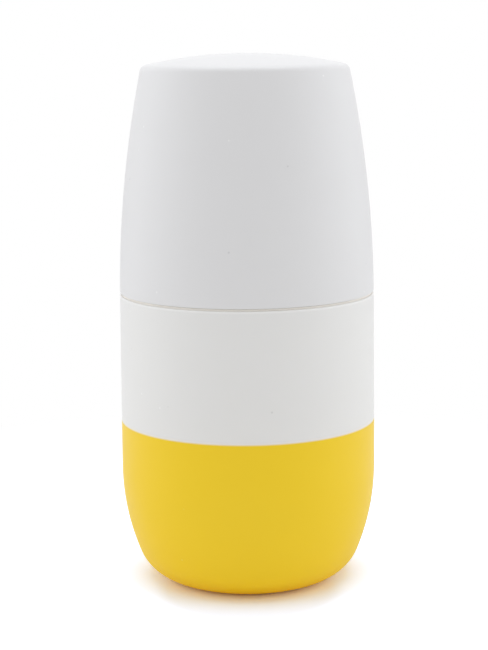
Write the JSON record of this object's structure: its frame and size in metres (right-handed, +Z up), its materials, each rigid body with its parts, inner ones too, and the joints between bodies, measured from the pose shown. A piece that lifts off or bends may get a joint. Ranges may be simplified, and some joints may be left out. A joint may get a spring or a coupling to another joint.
{
  "type": "roll-on bottle",
  "caption": "Upright round bottle with a rounded foot, coloured lower half, roller ball in a pressed-in housing and a tall tapering screw cap.",
  "frame": {"origin": "centre of the standing ring, on the surface the bottle stands on", "axes": "+Z up along the bottle's axis; the picture looks along +Y, with +X to the right"},
  "size_m": [0.0444, 0.0444, 0.0913],
  "materials": {
    "bottle_white": "satin white moulded plastic",
    "coat_yellow": "matte yellow coat, sprayed over the white plastic",
    "housing_natural": "milky natural polyethylene",
    "ball_white": "smooth glossy white plastic",
    "pad_soft": "soft matte seal",
    "liner_natural": "natural white moulded plastic",
    "cap_white": "fine matte white moulded plastic"
  },
  "bodies": {
    "bottle": {"bottle": "bottle_white", "base_coat": "coat_yellow", "ball_housing": "housing_natural"},
    "ball": {"roller_ball": "ball_white"},
    "pad": {"seal_pad": "pad_soft"},
    "cap": {"cap_liner": "liner_natural", "cap_shell": "cap_white"}
  },
  "joints": [
    {"name": "cap_lift", "type": "slide", "parent": "bottle", "child": "pad", "axis": [0, 0, 1], "range_m": [0, 0.04]},
    {"name": "cap_turn", "type": "hinge", "parent": "pad", "child": "cap", "pos_m": [0, 0, 0.0844], "axis": [0, 0, 1], "range_deg": [0, 360]},
    {"name": "ball_roll", "type": "hinge", "parent": "bottle", "child": "ball", "pos_m": [0, 0, 0.0683], "axis": [1, 0, 0], "continuous": true}
  ]
}
